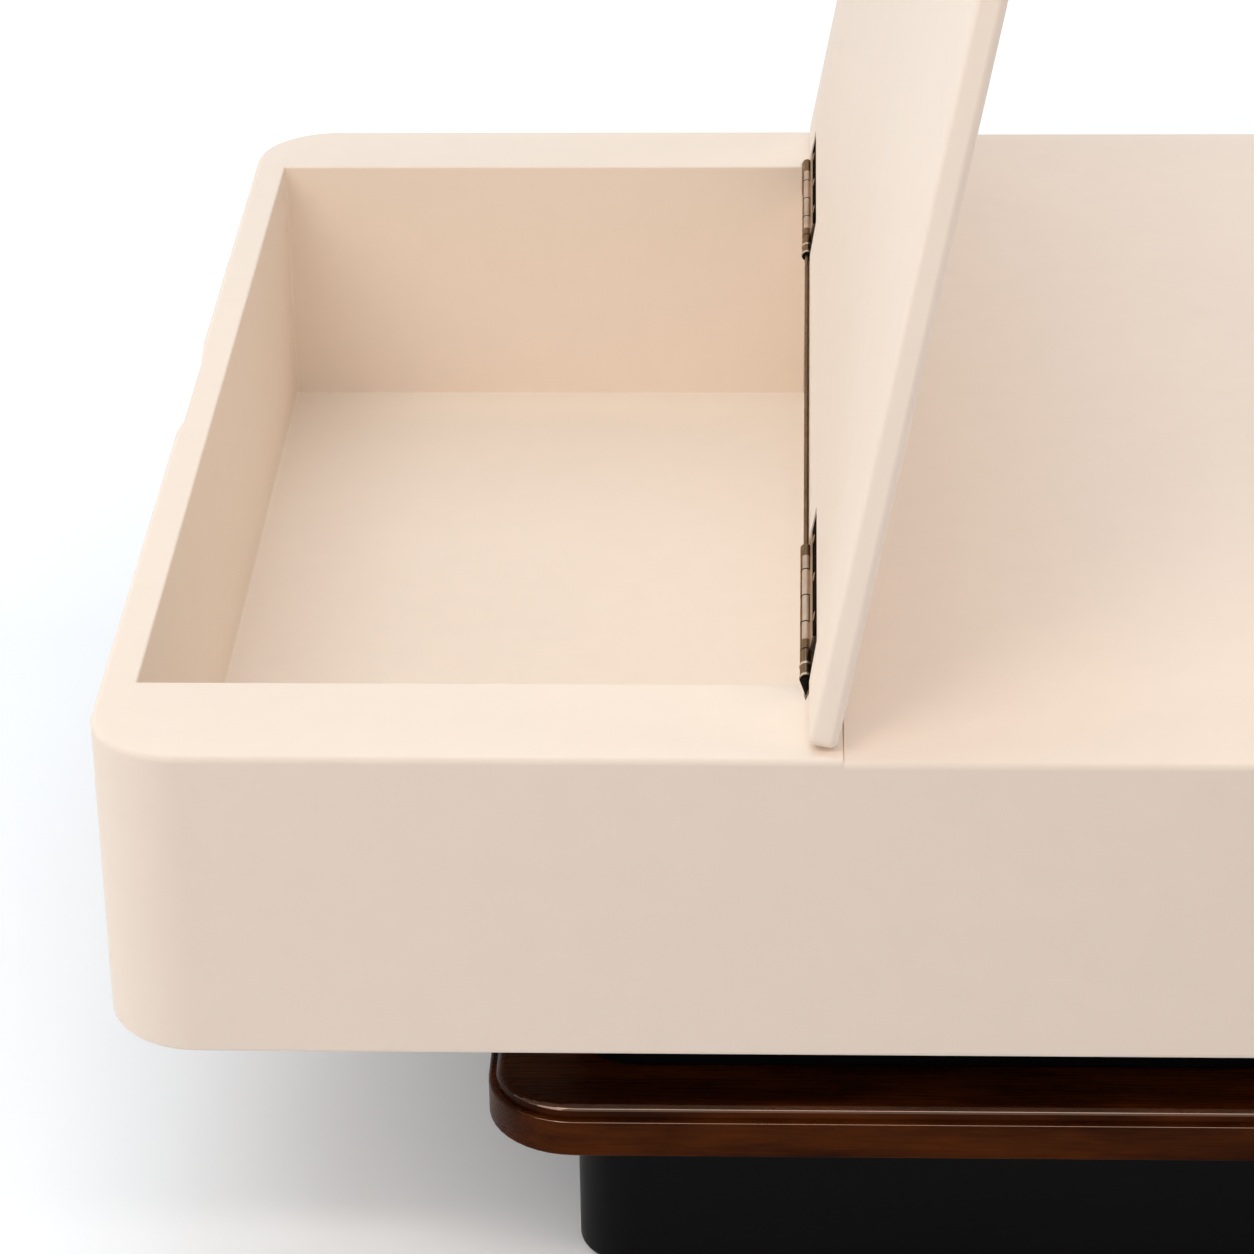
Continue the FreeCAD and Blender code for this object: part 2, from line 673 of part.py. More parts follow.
def make_rod():
    tip = f"({FRONT} + rod_tip)"
    back = f"({FRONT} + {ROD_BACK})"
    point = cone("rod_tip_radius", "rod_tip_root", "rod_tip_length", y=tip, along=Y_AXIS)
    shank = bar("rod_radius", f"{back} - {tip} - rod_tip_length", y=f"({tip} + rod_tip_length)", along=Y_AXIS)
    barrel = bar("knuckle_radius", "rod_head_length - knuckle_radius", y=back, along=Y_AXIS)
    dome = doc.addObject("Part::Sphere", "Dome")
    dome.setExpression("Radius", sized("knuckle_radius"))
    place(dome, y=f"({back} + rod_head_length - knuckle_radius)")
    keep(at_hinge(fuse([point, shank, barrel, dome])), "hinge_rod")


# Walnut shelf board: two tiers with rounded edges

def make_shelf():
    half_x = "(table_length / 2 - shelf_end_inset)"
    half_y = "(table_depth / 2 - shelf_front_inset)"
    lower_height = "(shelf_thick - shelf_tier)"
    lower = sketched(rectangle(f"-{half_x}", half_x, f"-{half_y}", half_y), lower_height)
    soften(lower, "shelf_radius", upright)
    top = present(lower_height)
    soften(lower, "shelf_lower_soft", lambda box: level(box, top))
    soften(lower, "shelf_arris", lambda box: level(box, 0))
    place(lower, z=SHELF_BOTTOM)

    inner_x = f"({half_x} - shelf_step)"
    inner_y = f"({half_y} - shelf_step)"
    upper = sketched(rectangle(f"-{inner_x}", inner_x, f"-{inner_y}", inner_y), "shelf_tier")
    soften(upper, "shelf_radius - shelf_step", upright)
    tier = present("shelf_tier")
    soften(upper, "shelf_bead", lambda box: level(box, tier))
    place(upper, z=f"({SHELF_BOTTOM} + {lower_height})")
    keep(drilled(fuse([lower, upper])), "shelf_board")


# Neck and plinth: two black boxes of one plan, above and below the shelf board

def make_black_box(prefix, low, high, rail_low):
    straight_x = f"({PLINTH_X} - plinth_radius)"
    straight_y = f"({PLINTH_Y} - plinth_radius)"
    levels = (low, high)
    along = (f"-{straight_x}", straight_x)
    across = (f"-{straight_y}", straight_y)
    keep(board(along, (f"-{PLINTH_Y}", f"-{PLINTH_Y} + board"), levels), f"{prefix}_front")
    keep(board(along, (f"{PLINTH_Y} - board", PLINTH_Y), levels), f"{prefix}_back")
    keep(board((f"-{PLINTH_X}", f"-{PLINTH_X} + board"), across, levels), f"{prefix}_left")
    keep(board((f"{PLINTH_X} - board", PLINTH_X), across, levels), f"{prefix}_right")
    quarter_posts(f"{prefix}_corner", PLINTH_X, PLINTH_Y, "plinth_radius", levels)
    inside = (f"-{PLINTH_Y} + board", f"{PLINTH_Y} - board")
    for side, name in ((-1, "left"), (1, "right")):
        middle = f"({side} * rail_middle)"
        width = (f"{middle} - rail_width / 2", f"{middle} + rail_width / 2")
        keep(drilled(board(width, inside, (rail_low, high))), f"{prefix}_rail_{name}")


def make_pads():
    pads = []
    for side in (-1, 1):
        for shift in ("-pad_spread", "0", "pad_spread"):
            pads.append(bar("pad_radius", "pad_thick", shift, f"({side} * ({PLINTH_Y} - board / 2))"))
    keep(group(pads), "floor_pads")


make_bottom_panel()
make_walls()
make_ribs()
make_left_end_panel()
make_partition()
make_compartment_walls()
make_rims()
make_fixed_top()
make_lid()
make_hinges()
make_rod()
make_shelf()
make_black_box("neck", NECK_BOTTOM, BODY_BOTTOM, NECK_BOTTOM)
make_black_box("plinth", "pad_thick", SHELF_BOTTOM, f"({SHELF_BOTTOM} - board)")
make_bolts()
make_pads()
doc.recompute()

# Check every object before anything is written

for item in doc.Objects:
    faults = [state for state in item.State if state in ("Invalid", "Error")]
    if faults:
        raise RuntimeError(f"{item.Name} ({item.Label}) failed: {faults}")
for label, item in nodes.items():
    if item.Shape.isNull() or not item.Shape.isValid() or not item.Shape.Solids:
        raise RuntimeError(f"{label} has no sound solid")

os.makedirs("parts", exist_ok=True)
for label, item in nodes.items():
    item.Shape.exportStep(f"parts/{label}.step")
    box = item.Shape.BoundBox
    print(
        f"{label}: {len(item.Shape.Solids)} solid(s), "
        f"X {box.XMin:.1f}..{box.XMax:.1f}, Y {box.YMin:.1f}..{box.YMax:.1f}, Z {box.ZMin:.1f}..{box.ZMax:.1f}"
    )
print(len(nodes), "nodes written")
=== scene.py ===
# %% [markdown]
# A center table with a flip-up lid, dressed for its portrait.
# The construction model gives every board, hinge and bolt its place and size, and this lesson gives them
# their looks. Each cell below takes one piece or one finish, says what it is on the real table, how it
# could be made in Blender, and why this way was chosen.

# %% Load the construction model
import json
import math

import bmesh
import bpy
from mathutils import Matrix, Vector


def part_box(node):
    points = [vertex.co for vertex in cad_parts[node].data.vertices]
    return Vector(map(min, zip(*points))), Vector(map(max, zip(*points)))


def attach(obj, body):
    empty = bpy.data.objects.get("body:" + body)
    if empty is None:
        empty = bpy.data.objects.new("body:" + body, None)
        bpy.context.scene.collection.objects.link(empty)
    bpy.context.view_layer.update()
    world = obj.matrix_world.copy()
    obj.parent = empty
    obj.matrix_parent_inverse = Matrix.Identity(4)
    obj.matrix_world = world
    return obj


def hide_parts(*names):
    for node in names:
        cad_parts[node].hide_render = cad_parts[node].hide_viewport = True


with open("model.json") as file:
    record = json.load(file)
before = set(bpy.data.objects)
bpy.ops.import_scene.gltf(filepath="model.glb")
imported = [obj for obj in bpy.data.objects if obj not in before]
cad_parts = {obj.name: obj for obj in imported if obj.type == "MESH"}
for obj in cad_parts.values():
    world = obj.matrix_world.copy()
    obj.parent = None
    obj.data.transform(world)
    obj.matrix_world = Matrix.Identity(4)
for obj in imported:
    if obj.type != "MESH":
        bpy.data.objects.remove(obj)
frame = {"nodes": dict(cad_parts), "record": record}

nodes = frame["nodes"]
record = frame["record"]
bpy.context.view_layer.update()

# %% [markdown]
# Every finish here is a small tree of shader nodes. A helper keeps the cells short: it adds a node, sets
# its values by name and returns it, so that a finish reads like a recipe. All patterns start from Object
# coordinates, which are metres in the table's own frame, so a pattern runs on unbroken from one board to
# the next.

# %% Helpers for finishes


def new_finish(name):
    """A new material, its tree, its principled shader, and the place that its patterns start from."""
    finish = bpy.data.materials.new(name)
    finish.use_nodes = True
    tree = finish.node_tree
    shader = tree.nodes["Principled BSDF"]
    place = tree.nodes.new("ShaderNodeTexCoord").outputs["Object"]
    return finish, tree, shader, place


def add(tree, kind, inputs=None, **settings):
    """One node with its settings and inputs; an input is a value or another node's output."""
    node = tree.nodes.new(kind)
    for key, value in settings.items():
        setattr(node, key, value)
    for key, value in (inputs or {}).items():
        if isinstance(value, bpy.types.NodeSocket):
            tree.links.new(value, node.inputs[key])
        else:
            node.inputs[key].default_value = value
    return node


def noise(tree, place, scale, detail=2.0, roughness=0.5, stretch=None):
    """A noise pattern, in features per metre, stretched along the axes if asked."""
    if stretch:
        place = add(tree, "ShaderNodeMapping", {"Vector": place, "Scale": stretch}).outputs["Vector"]
    made = add(
        tree,
        "ShaderNodeTexNoise",
        {"Vector": place, "Scale": scale, "Detail": detail, "Roughness": roughness},
    )
    return made.outputs["Fac"]


def spread(tree, value, low, high, start=0.3, end=0.7):
    """A pattern's useful range, carried to the range that a socket needs."""
    made = add(
        tree,
        "ShaderNodeMapRange",
        {"Value": value, "From Min": start, "From Max": end, "To Min": low, "To Max": high},
    )
    return made.outputs["Result"]


def blend(tree, factor, first, second):
    """A colour between two others."""
    made = add(tree, "ShaderNodeMix", data_type="RGBA")
    for socket, value in ((made.inputs[0], factor), (made.inputs[6], first), (made.inputs[7], second)):
        if isinstance(value, bpy.types.NodeSocket):
            tree.links.new(value, socket)
        else:
            socket.default_value = value
    return made.outputs[2]


def bump(tree, height, distance):
    """A normal tilted by a pattern, whose full height is given in metres."""
    return add(tree, "ShaderNodeBump", {"Height": height, "Distance": distance}).outputs["Normal"]


def reckon(tree, operation, first, second):
    """The sum, product or larger of two values, as the operation says."""
    return add(tree, "ShaderNodeMath", {0: first, 1: second}, operation=operation).outputs[0]


# %% [markdown]
# The body is board under sprayed cream lacquer, and the neck and plinth are sprayed black. Close up,
# sprayed paint has a very fine orange-peel ripple, and its tone drifts a little over a wide panel. Four
# noises of different sizes give the drift, the specks, the uneven sheen and the ripple; the ripple goes
# into a bump, because modelling it would take millions of faces.

# %% Lacquers
SPECK_SHADE = 0.97
PEEL_HEIGHT = 0.00003


def lacquer(name, light, dark, sheen, specular):
    """Sprayed paint between two tones, with a range of roughness."""
    finish, tree, shader, place = new_finish(name)
    drift = noise(tree, place, 3.0, 3.0)
    speck = noise(tree, place, 60.0, 2.0)
    tone = blend(tree, spread(tree, drift, 0.0, 1.0), light, dark)
    shade = tuple(channel * SPECK_SHADE for channel in dark[:3]) + (1.0,)
    tone = blend(tree, spread(tree, speck, 0.0, 0.35), tone, shade)
    tree.links.new(tone, shader.inputs["Base Color"])
    tree.links.new(spread(tree, noise(tree, place, 14.0, 3.0), *sheen), shader.inputs["Roughness"])
    ripple = noise(tree, place, 420.0, 1.0)
    tree.links.new(bump(tree, ripple, PEEL_HEIGHT), shader.inputs["Normal"])
    shader.inputs["Specular IOR Level"].default_value = specular
    return finish


cream = lacquer(
    "cream_satin_lacquer",
    light=(0.885, 0.775, 0.671, 1.0),
    dark=(0.870, 0.760, 0.656, 1.0),
    sheen=(0.44, 0.54),
    specular=0.05,
)
black = lacquer(
    "black_satin_lacquer",
    light=(0.0045, 0.0045, 0.0047, 1.0),
    dark=(0.0036, 0.0036, 0.0038, 1.0),
    sheen=(0.30, 0.42),
    specular=0.08,
)
print("lacquers", cream.name, black.name)

# %% [markdown]
# The shelf board is dark polished walnut with its grain along the table. Wood grain is noise drawn out
# along one axis: a broad figure of darker and redder streaks, fine pores on top, and a polish that has
# gone brown like the wood. Polish builds up where the edge is rounded, so the recipe is used twice, with
# a thin film and with a thick one.

# %% Walnut
RED_BROWN = (0.092, 0.021, 0.0022, 1.0)
DARK_BROWN = (0.024, 0.0048, 0.0007, 1.0)
STREAK_BROWN = (0.014, 0.0028, 0.0004, 1.0)
POLISH_TINT = (1.0, 0.74, 0.60, 1.0)
PORE_DEPTH = 0.000005


def polished(name, polish, roughness):
    """Walnut under a film of polish, with a range of roughness."""
    finish, tree, shader, place = new_finish(name)
    figure = noise(tree, place, 9.0, 6.0, 0.6, (1.0, 5.0, 5.0))
    streak = noise(tree, place, 60.0, 4.0, 0.6, (0.06, 1.0, 1.0))
    pores = noise(tree, place, 900.0, 2.0, 0.5, (0.03, 1.0, 1.0))
    tone = blend(tree, spread(tree, figure, 0.0, 1.0, 0.38, 0.62), RED_BROWN, DARK_BROWN)
    tone = blend(tree, spread(tree, streak, 0.0, 0.6), tone, STREAK_BROWN)
    tree.links.new(tone, shader.inputs["Base Color"])
    tree.links.new(spread(tree, pores, *roughness), shader.inputs["Roughness"])
    tree.links.new(bump(tree, pores, PORE_DEPTH), shader.inputs["Normal"])
    shader.inputs["Specular IOR Level"].default_value = polish
    shader.inputs["Specular Tint"].default_value = POLISH_TINT
    return finish


walnut = polished("polished_walnut", 0.06, (0.22, 0.34))
walnut_edge = polished("polished_walnut_edge", 1.0, (0.04, 0.08))
print("walnut", walnut.name, walnut_edge.name)

# %% [markdown]
# The hinges are nickel plate gone warm with age. Brown is painted shade on the rod and on each knuckle's
# side towards the well, and the ends of each hinge are brown as well. Near-black marks the dark joints
# between the knuckles, and is painted shade on the lid's leaf outside its bend and on the rod's tip. The
# bolts underneath are bright zinc. All these metals come from one recipe: a patchy tone, and a fine grain
# drawn out along the hinge, which breaks up the sheen and ruffles the surface. The near-black is no metal,
# so it mirrors nothing.

# %% Metals
GRAIN_DEPTH = 0.00002
METAL_SPECULAR = 0.5


def plated(name, bright, dull, roughness, metal=1.0):
    """Plate in two tones, with a range of roughness; its sheen has the hue of the brighter tone."""
    finish, tree, shader, place = new_finish(name)
    patch = noise(tree, place, 55.0, 4.0, 0.6)
    grain = noise(tree, place, 900.0, 2.0, 0.5, (1.0, 0.08, 1.0))
    tone = blend(tree, spread(tree, patch, 0.0, 1.0), bright, dull)
    tree.links.new(tone, shader.inputs["Base Color"])
    tree.links.new(spread(tree, grain, *roughness), shader.inputs["Roughness"])
    tree.links.new(bump(tree, grain, GRAIN_DEPTH), shader.inputs["Normal"])
    shader.inputs["Metallic"].default_value = metal
    shader.inputs["Specular IOR Level"].default_value = METAL_SPECULAR * metal
    hue = tuple(channel / bright[0] for channel in bright[:3]) + (1.0,)
    shader.inputs["Specular Tint"].default_value = hue
    return finish


nickel = plated(
    "aged_nickel_plate",
    bright=(0.45, 0.36, 0.285, 1.0),
    dull=(0.33, 0.26, 0.20, 1.0),
    roughness=(0.34, 0.50),
)
# Brown: painted shade on the rod and on the knuckles' side towards the well, and the hinges' brown ends.
brown_and_shade_nickel = plated(
    "brown_nickel_and_painted_shade",
    bright=(0.125, 0.094, 0.070, 1.0),
    dull=(0.072, 0.053, 0.039, 1.0),
    roughness=(0.22, 0.34),
)
zinc = plated(
    "bright_zinc_plate",
    bright=(0.62, 0.63, 0.65, 1.0),
    dull=(0.48, 0.49, 0.50, 1.0),
    roughness=(0.26, 0.40),
)
# Near-black: the dark joints between knuckles, and painted shade on the lid's leaf and the rod's tip.
joint_and_shade_black = plated(
    "black_joints_and_painted_shade",
    bright=(0.018, 0.013, 0.009, 1.0),
    dull=(0.008, 0.006, 0.004, 1.0),
    roughness=(0.40, 0.55),
    metal=0.0,
)
print("metals", nickel.name, brown_and_shade_nickel.name, joint_and_shade_black.name, zinc.name)

# %% [markdown]
# Inside the body the boards are unpainted. The board in the lid's recesses is coloured nearly black, which
# is painted shade. Board is pressed from chips and fibres, so one noise gives both its tone and its rough
# surface.

# %% Bare boards, and the painted shade of the recesses
FIBRE_HEIGHT = 0.0002


def bare_board_and_shade(name, fibres, light, dark, roughness, specular):
    """Bare board, also used as painted shade; the fibres are a noise's scale, detail and roughness."""
    finish, tree, shader, place = new_finish(name)
    pattern = noise(tree, place, *fibres)
    tone = blend(tree, spread(tree, pattern, 0.0, 1.0), light, dark)
    tree.links.new(tone, shader.inputs["Base Color"])
    tree.links.new(bump(tree, pattern, FIBRE_HEIGHT), shader.inputs["Normal"])
    shader.inputs["Roughness"].default_value = roughness
    shader.inputs["Specular IOR Level"].default_value = specular
    return finish


raw_board = bare_board_and_shade(
    "unpainted_board",
    fibres=(240.0, 4.0, 0.7),
    light=(0.52, 0.38, 0.24, 1.0),
    dark=(0.36, 0.25, 0.15, 1.0),
    roughness=0.85,
    specular=0.5,
)
# Near-black board for the lid's recesses: painted shade.
recess_painted_shade_board = bare_board_and_shade(
    "near_black_recess_shade",
    fibres=(900.0, 3.0, 0.6),
    light=(0.030, 0.020, 0.013, 1.0),
    dark=(0.016, 0.011, 0.007, 1.0),
    roughness=0.9,
    specular=0.1,
)
print("bare boards", raw_board.name, recess_painted_shade_board.name)

# %% [markdown]
# Two soft parts finish the list: clear silicone dots under the lid and black plastic pads under the
# plinth. Silicone lets some light in, which the shader's own subsurface value gives. Then every piece of
# the construction model gets the finish that its record names.

# %% Soft parts, and a finish for every piece
GRIT_HEIGHT = 0.0001
silicone, tree, shader, place = new_finish("clear_silicone")
cloud = noise(tree, place, 700.0, 2.0)
milky = blend(tree, cloud, (0.74, 0.72, 0.68, 1.0), (0.82, 0.80, 0.77, 1.0))
tree.links.new(milky, shader.inputs["Base Color"])
tree.links.new(spread(tree, cloud, 0.25, 0.4), shader.inputs["Roughness"])
shader.inputs["Subsurface Weight"].default_value = 0.3

pad_plastic, tree, shader, place = new_finish("black_pad_plastic")
grit = noise(tree, place, 1500.0, 2.0)
sooty = blend(tree, grit, (0.012, 0.012, 0.013, 1.0), (0.03, 0.03, 0.031, 1.0))
tree.links.new(sooty, shader.inputs["Base Color"])
tree.links.new(bump(tree, grit, GRIT_HEIGHT), shader.inputs["Normal"])
shader.inputs["Roughness"].default_value = 0.6

finishes = {
    "cream_lacquer": cream,
    "black_lacquer": black,
    "walnut": walnut,
    "aged_nickel": nickel,
    "zinc_steel": zinc,
    "raw_board": raw_board,
    "silicone": silicone,
    "floor_pad": pad_plastic,
}
for row in record["subparts"]:
    piece = nodes[row["node"]]
    piece.data.materials.clear()
    piece.data.materials.append(finishes[row["material_slot"]])
print(len(record["subparts"]), "construction pieces have their finish")

# %% [markdown]
# Most pieces below start from a copy of a construction piece, because the construction model itself is
# never changed. Its meshes are loose triangles, so a copy has its corners joined first. Weighted normals
# keep the wide faces of a finished mesh flat beside narrow roundings.

# %% Helpers for pieces
WELD = 1e-6


def new_piece(name, mesh, body, slot, replaced, *skins):
    """A finished mesh as an object that rides a body and stands for construction pieces."""
    piece = bpy.data.objects.new(name, mesh)
    bpy.context.scene.collection.objects.link(piece)
    for skin in skins:
        mesh.materials.append(skin)
    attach(piece, body)
    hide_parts(*replaced)
    print(name, len(mesh.polygons), "faces")


def editable(node):
    """An editable copy of a construction piece, with the corners of its faces joined."""
    work = bmesh.new()
    work.from_mesh(nodes[node].data)
    bmesh.ops.remove_doubles(work, verts=work.verts, dist=WELD)
    return work


def applied(item):
    """An object's mesh, with its modifiers applied."""
    graph = bpy.context.evaluated_depsgraph_get()
    return bpy.data.meshes.new_from_object(item.evaluated_get(graph))


def shaded(work, name, angle=40):
    """The finished mesh, smooth over its roundings and flat on its wide faces."""
    for face in work.faces:
        face.smooth = True
    for edge in work.edges:
        edge.smooth = len(edge.link_faces) == 2 and edge.calc_face_angle() < math.radians(angle)
    mesh = bpy.data.meshes.new(name)
    work.to_mesh(mesh)
    work.free()
    holder = bpy.data.objects.new(name + "_raw", mesh)
    bpy.context.scene.collection.objects.link(holder)
    weighted = holder.modifiers.new("weighted", "WEIGHTED_NORMAL")
    weighted.keep_sharp = True
    made = applied(holder)
    bpy.data.meshes.remove(mesh)
    made.name = name
    return made


# %% [markdown]
# On the real table the boards are filled, sanded and sprayed as one, so no joint shows and every corner
# carries a small radius of paint. Bevelling each board would draw a groove at every joint instead. So the
# boards are first made one solid, with an exact union that also copes with faces lying in one plane; then
# flat neighbours are merged, and only the edges that a hand would feel are rounded.

# %% Helpers for painted boards
UNION_WELD = 2e-6
SAME_PLANE = 0.01
SHARP = math.radians(60)
ROUNDING_STEPS = 3


def welded(node):
    """A closed copy of a construction piece, as an object of its own."""
    work = editable(node)
    mesh = bpy.data.meshes.new(node + "_copy")
    work.to_mesh(mesh)
    work.free()
    return bpy.data.objects.new(node + "_copy", mesh)


def joined(names):
    """One solid from touching boards, as an editable mesh with flat neighbours merged."""
    copies = bpy.data.collections.new("boards_to_join")
    bpy.context.scene.collection.children.link(copies)
    first, *others = [welded(name) for name in names]
    bpy.context.scene.collection.objects.link(first)
    for other in others:
        copies.objects.link(other)
    union = first.modifiers.new("union", "BOOLEAN")
    union.operation = "UNION"
    union.operand_type = "COLLECTION"
    union.collection = copies
    union.solver = "EXACT"
    solid = applied(first)
    for item in [first, *others]:
        bpy.data.meshes.remove(item.data)
    bpy.data.collections.remove(copies)
    work = bmesh.new()
    work.from_mesh(solid)
    bpy.data.meshes.remove(solid)
    bmesh.ops.remove_doubles(work, verts=work.verts, dist=UNION_WELD)
    bmesh.ops.dissolve_limit(work, angle_limit=SAME_PLANE, verts=work.verts, edges=work.edges)
    return work


def soften(work, chosen, width):
    """Round the sharp edges that a test picks out; the test gets an edge's two ends."""
    sharp = [edge for edge in work.edges if len(edge.link_faces) == 2 and edge.calc_face_angle() > SHARP]
    picked = [edge for edge in sharp if chosen(*(end.co for end in edge.verts))]
    bmesh.ops.bevel(
        work,
        geom=picked,
        offset=width,
        segments=ROUNDING_STEPS,
        profile=0.5,
        affect="EDGES",
        clamp_overlap=True,
    )
    print(len(picked), "edges rounded")


# %% [markdown]
# The cream shell: all the painted boards of the body. The rim of the storage well and its inside corners
# get their paint radius here. An edge belongs to the well if both its ends lie in the planes of the
# well's walls, floor or rim, and those planes are read from the boards around it.

# %% Lacquered shell
PAINT_RADIUS = 0.0012
IN_PLANE = 2e-4
shell_nodes = [
    row["node"]
    for row in record["subparts"]
    if row["material_slot"] == "cream_lacquer" and row["node"] != "lid_panel"
]
well_left, well_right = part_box("left_end_panel")[1][0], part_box("partition")[0][0]
well_front, well_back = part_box("compartment_front_wall")[1][1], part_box("compartment_back_wall")[0][1]
well_floor, rim_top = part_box("bottom_panel")[1][2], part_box("front_rim")[1][2]
print("storage well from", [round(v, 4) for v in (well_left, well_front, well_floor)])
print("storage well to", [round(v, 4) for v in (well_right, well_back, rim_top)])


def near(first, second):
    """Two places along an axis that count as one."""
    return abs(first - second) < IN_PLANE


def well_edge(start, end):
    """Edges where the well's walls meet the rim, each other or the floor."""
    sides = sum(
        near(start[axis], plane) and near(end[axis], plane)
        for axis, plane in ((0, well_left), (0, well_right), (1, well_front), (1, well_back))
    )
    at_level = any(near(start.z, level) and near(end.z, level) for level in (well_floor, rim_top))
    return sides == 2 or (sides == 1 and at_level)


shell_work = joined(shell_nodes)
soften(shell_work, well_edge, PAINT_RADIUS)
shell_mesh = shaded(shell_work, "lacquered_shell")
new_piece("lacquered_shell", shell_mesh, "table", "cream_lacquer", shell_nodes, cream)

# %% [markdown]
# The black boxes above and below the shelf board are made the same way. Their lower edges are only broken
# by the sanding block, so the rounding there is small.

# %% Neck and plinth
SANDED_RADIUS = 0.0015
for box_name in ("neck", "plinth"):
    box_nodes = [
        row["node"]
        for row in record["subparts"]
        if row["node"].startswith(box_name) and "rail" not in row["node"]
    ]
    box_low = min(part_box(name)[0].z for name in box_nodes)
    box_work = joined(box_nodes)
    soften(box_work, lambda start, end: near(start.z, box_low) and near(end.z, box_low), SANDED_RADIUS)
    box_mesh = shaded(box_work, f"{box_name}_box")
    new_piece(f"{box_name}_box", box_mesh, "table", "black_lacquer", box_nodes, black)

# %% [markdown]
# The shelf board keeps the construction model's shape. The roundings of its two long edges carry the
# thick polish. They are found by their slant: they are the faces that neither lie flat nor stand upright,
# and that look to the front or back. The upper tier's polish is broad and the lower tier's narrow, and
# both run out to nothing round the corners.

# %% Shelf board
UPPER_TIER = 0.0055
BROAD_SLANT, NARROW_SLANT = (0.5, 0.95), (0.6, 0.8)
LEAST_LENGTH = 1e-6
shelf_work = editable("shelf_board")
tier_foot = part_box("shelf_board")[1].z - UPPER_TIER
for face in shelf_work.faces:
    face.normal_update()
    along = abs(face.normal.y) / max(face.normal.xy.length, LEAST_LENGTH)
    start, end = BROAD_SLANT if face.calc_center_median().z > tier_foot else NARROW_SLANT
    width = (end - start) * (2 * along - 1)
    face.material_index = 1 if start < face.normal.z < start + width else 0
shelf_mesh = shaded(shelf_work, "shelf_board_polished")
new_piece("shelf_board_polished", shelf_mesh, "table", "walnut", ["shelf_board"], walnut, walnut_edge)

# %% [markdown]
# Each hinge is a pair of leaves rolled round one long rod. The knuckles are turned shapes: a short outline
# goes once round the hinge line, with a bore for the rod, broken corners at both ends, and two raised
# rings on the knuckle at the front. A plain cylinder would run straight on into the next one, and it is
# the thin dark line at the broken corners that tells the eye where one knuckle ends.

# %% Shapes for the hinges
joint = record["behaviour"]["joints"][0]
AXIS = Vector(joint["pos_m"])
OPEN = -math.radians(joint["range_deg"][0])
AT_HINGE = Matrix.Translation(AXIS)
AT_LID = AT_HINGE @ Matrix.Rotation(OPEN, 4, "Y")
MM = 0.001
KNUCKLE, BORE, CORNER = 2.7 * MM, 1.3 * MM, 0.35 * MM
RING, RING_WIDTH, RING_SEAT, RING_STEPS = 3.0 * MM, 2.2 * MM, 0.1 * MM, 8
SIDES = 48
BRIGHT, BROWN_AND_SHADE, BLACK_JOINT_AND_SHADE = range(3)
PLATED = (nickel, brown_and_shade_nickel, joint_and_shade_black)
HINGES = ("front_hinge", "rear_hinge")
print("hinge line through", [round(v, 4) for v in AXIS])


def turned(work, outline, closed=True):
    """An outline of (place along the hinge line, radius) pairs, taken once round the line."""
    angles = [2 * math.pi * side / SIDES for side in range(SIDES)]
    turns = [(math.cos(angle), math.sin(angle)) for angle in angles]
    rings = [[work.verts.new((radius * x, y, radius * z)) for x, z in turns] for y, radius in outline]
    pairs = list(zip(rings, rings[1:] + rings[:1])) if closed else list(zip(rings, rings[1:]))
    faces = []
    for first, second in pairs:
        for side in range(SIDES):
            follow = (side + 1) % SIDES
            faces.append(work.faces.new((first[side], first[follow], second[follow], second[side])))
    if not closed:
        faces += [work.faces.new(rings[0]), work.faces.new(rings[-1])]
    return faces


def knuckle(start, end, changes):
    """The outline of a knuckle with a bore, broken corners, and a ring of corners where its tint changes."""
    return [
        (start, BORE),
        (start, KNUCKLE - CORNER),
        (start + CORNER, KNUCKLE),
        *((y, KNUCKLE) for y in changes if start + CORNER < y < end - CORNER),
        (end - CORNER, KNUCKLE),
        (end, KNUCKLE - CORNER),
        (end, BORE),
    ]


def raised_ring(start):
    """The outline of a half-round ring on a knuckle."""
    steps = [math.pi * step / RING_STEPS for step in range(RING_STEPS + 1)]
    foot = KNUCKLE - RING_SEAT
    rise = RING - KNUCKLE + RING_SEAT
    crown = [(start + RING_WIDTH * (1 - math.cos(t)) / 2, foot + rise * math.sin(t)) for t in steps]
    return [(start, BORE)] + crown + [(start + RING_WIDTH, BORE)]


def plate(work, low, high, corner=0.3 * MM, tint=BRIGHT):
    """A flat bar between two corners, with broken edges."""
    made = bmesh.ops.create_cube(work, size=1.0)["verts"]
    low, high = Vector(low), Vector(high)
    for vert in made:
        vert.co = Vector(a + (b - a) * (c + 0.5) for a, b, c in zip(low, high, vert.co))
    for face in {face for vert in made for face in vert.link_faces}:
        face.material_index = tint
    edges = list({edge for vert in made for edge in vert.link_edges})
    bmesh.ops.bevel(work, geom=edges, offset=corner, segments=2, profile=0.5, affect="EDGES", material=-1)


# %% [markdown]
# A leaf is its knuckles, the tabs that roll into them, and its plate. The fixed leaf and the lid's leaf
# take every other knuckle. Each is drawn round the hinge line as if closed, and the lid's is then swung
# open, so that both fit on the same rod. The middle of a hinge is bright and both its ends are brown; the
# side of each knuckle towards the well is brown too, as painted shade. The joints between the knuckles are
# black, and the lid's leaf outside its bend is near-black, which is painted shade.

